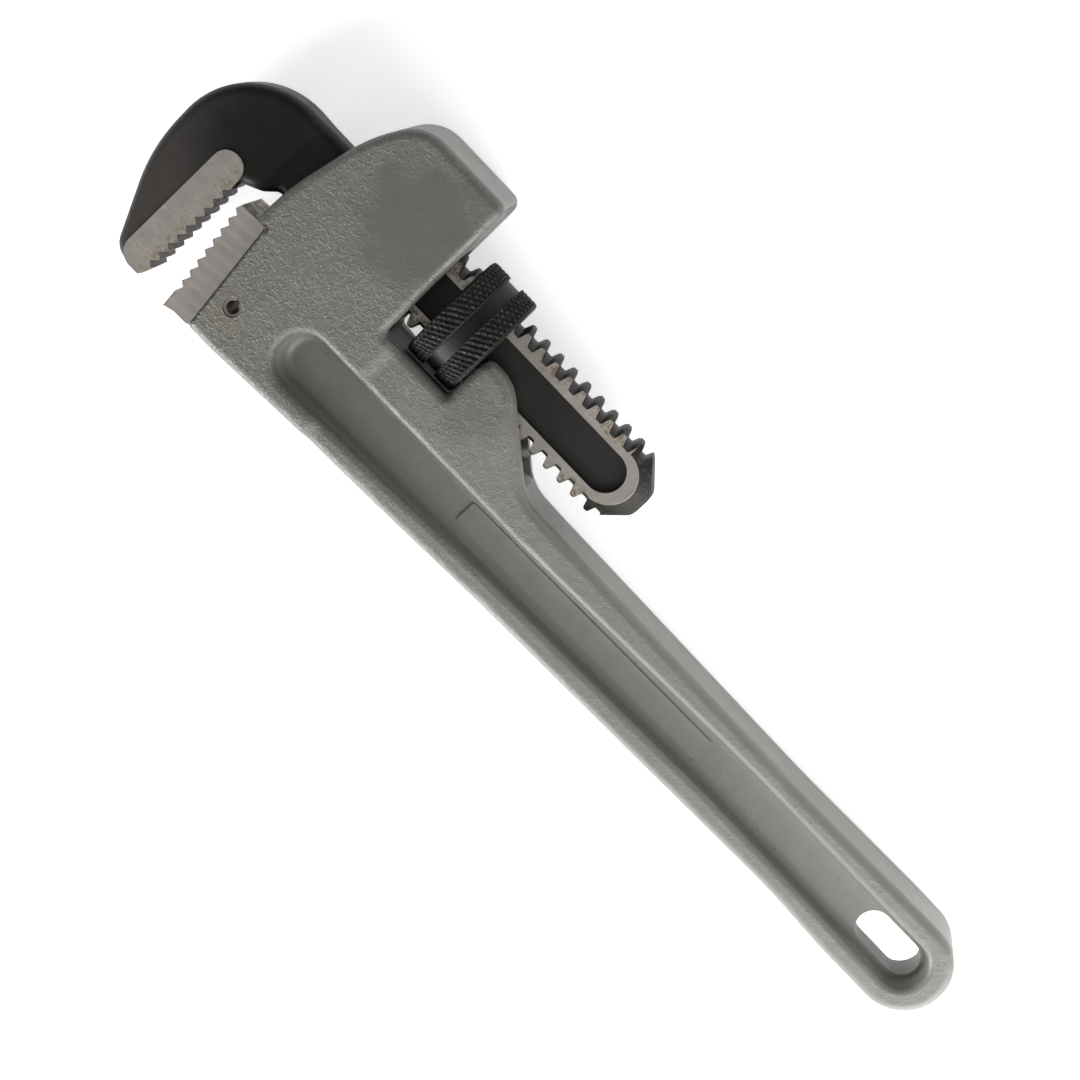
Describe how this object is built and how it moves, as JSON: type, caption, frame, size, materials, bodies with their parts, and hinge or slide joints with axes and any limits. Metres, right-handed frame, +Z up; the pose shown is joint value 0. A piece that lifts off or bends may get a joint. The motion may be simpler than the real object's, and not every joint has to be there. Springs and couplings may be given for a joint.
{
  "type": "pipe wrench",
  "caption": "Straight pipe wrench with an I-beam handle, a toothed hook jaw sliding through the head, a fixed heel jaw and a knurled adjusting nut.",
  "frame": {"origin": "centre of the bounding box in plan, at its lowest point with the wrench lying on its side", "axes": "+X from the head along the handle to its end, +Y towards the rear of the hook jaw, +Z up out of the side face"},
  "size_m": [0.254, 0.0698, 0.0267],
  "materials": {
    "grey_casting": "grey paint over cast aluminium",
    "black_forging": "black oxide on forged steel, ground flats bright",
    "nut_steel": "black oxide, knurled",
    "jaw_steel": "hardened steel, ground",
    "pin_steel": "dark spring steel",
    "spring_steel": "blued spring steel"
  },
  "bodies": {
    "handle": {"handle": "grey_casting", "heel_jaw": "jaw_steel", "heel_jaw_pin": "pin_steel", "spring_rivet": "spring_steel", "coil_spring": "spring_steel"},
    "rocker": {"flat_spring": "spring_steel"},
    "hook_jaw": {"hook_jaw": "black_forging"},
    "nut": {"adjusting_nut": "nut_steel"}
  },
  "joints": [
    {"name": "jaw_rock", "type": "hinge", "parent": "handle", "child": "rocker", "pos_m": [-0.05155, 0.0099, 0.01335], "axis": [0, 0, -1], "range_deg": [0, 3], "stiffness_Nm_per_rad": 2, "springref_deg": -8.59, "deforming": ["flat_spring", "coil_spring"]},
    {"name": "jaw_travel", "type": "slide", "parent": "rocker", "child": "hook_jaw", "axis": [-1, 0, 0], "range_m": [-0.003, 0.042]},
    {"name": "nut_spin", "type": "hinge", "parent": "rocker", "child": "nut", "pos_m": [-0.05155, 0.0099, 0.01335], "axis": [1, 0, 0], "range_deg": [-256, 3573]}
  ],
  "couplings": [
    {"joint": "nut_spin", "follows": "jaw_travel", "rad_per_m": 1484.2}
  ]
}
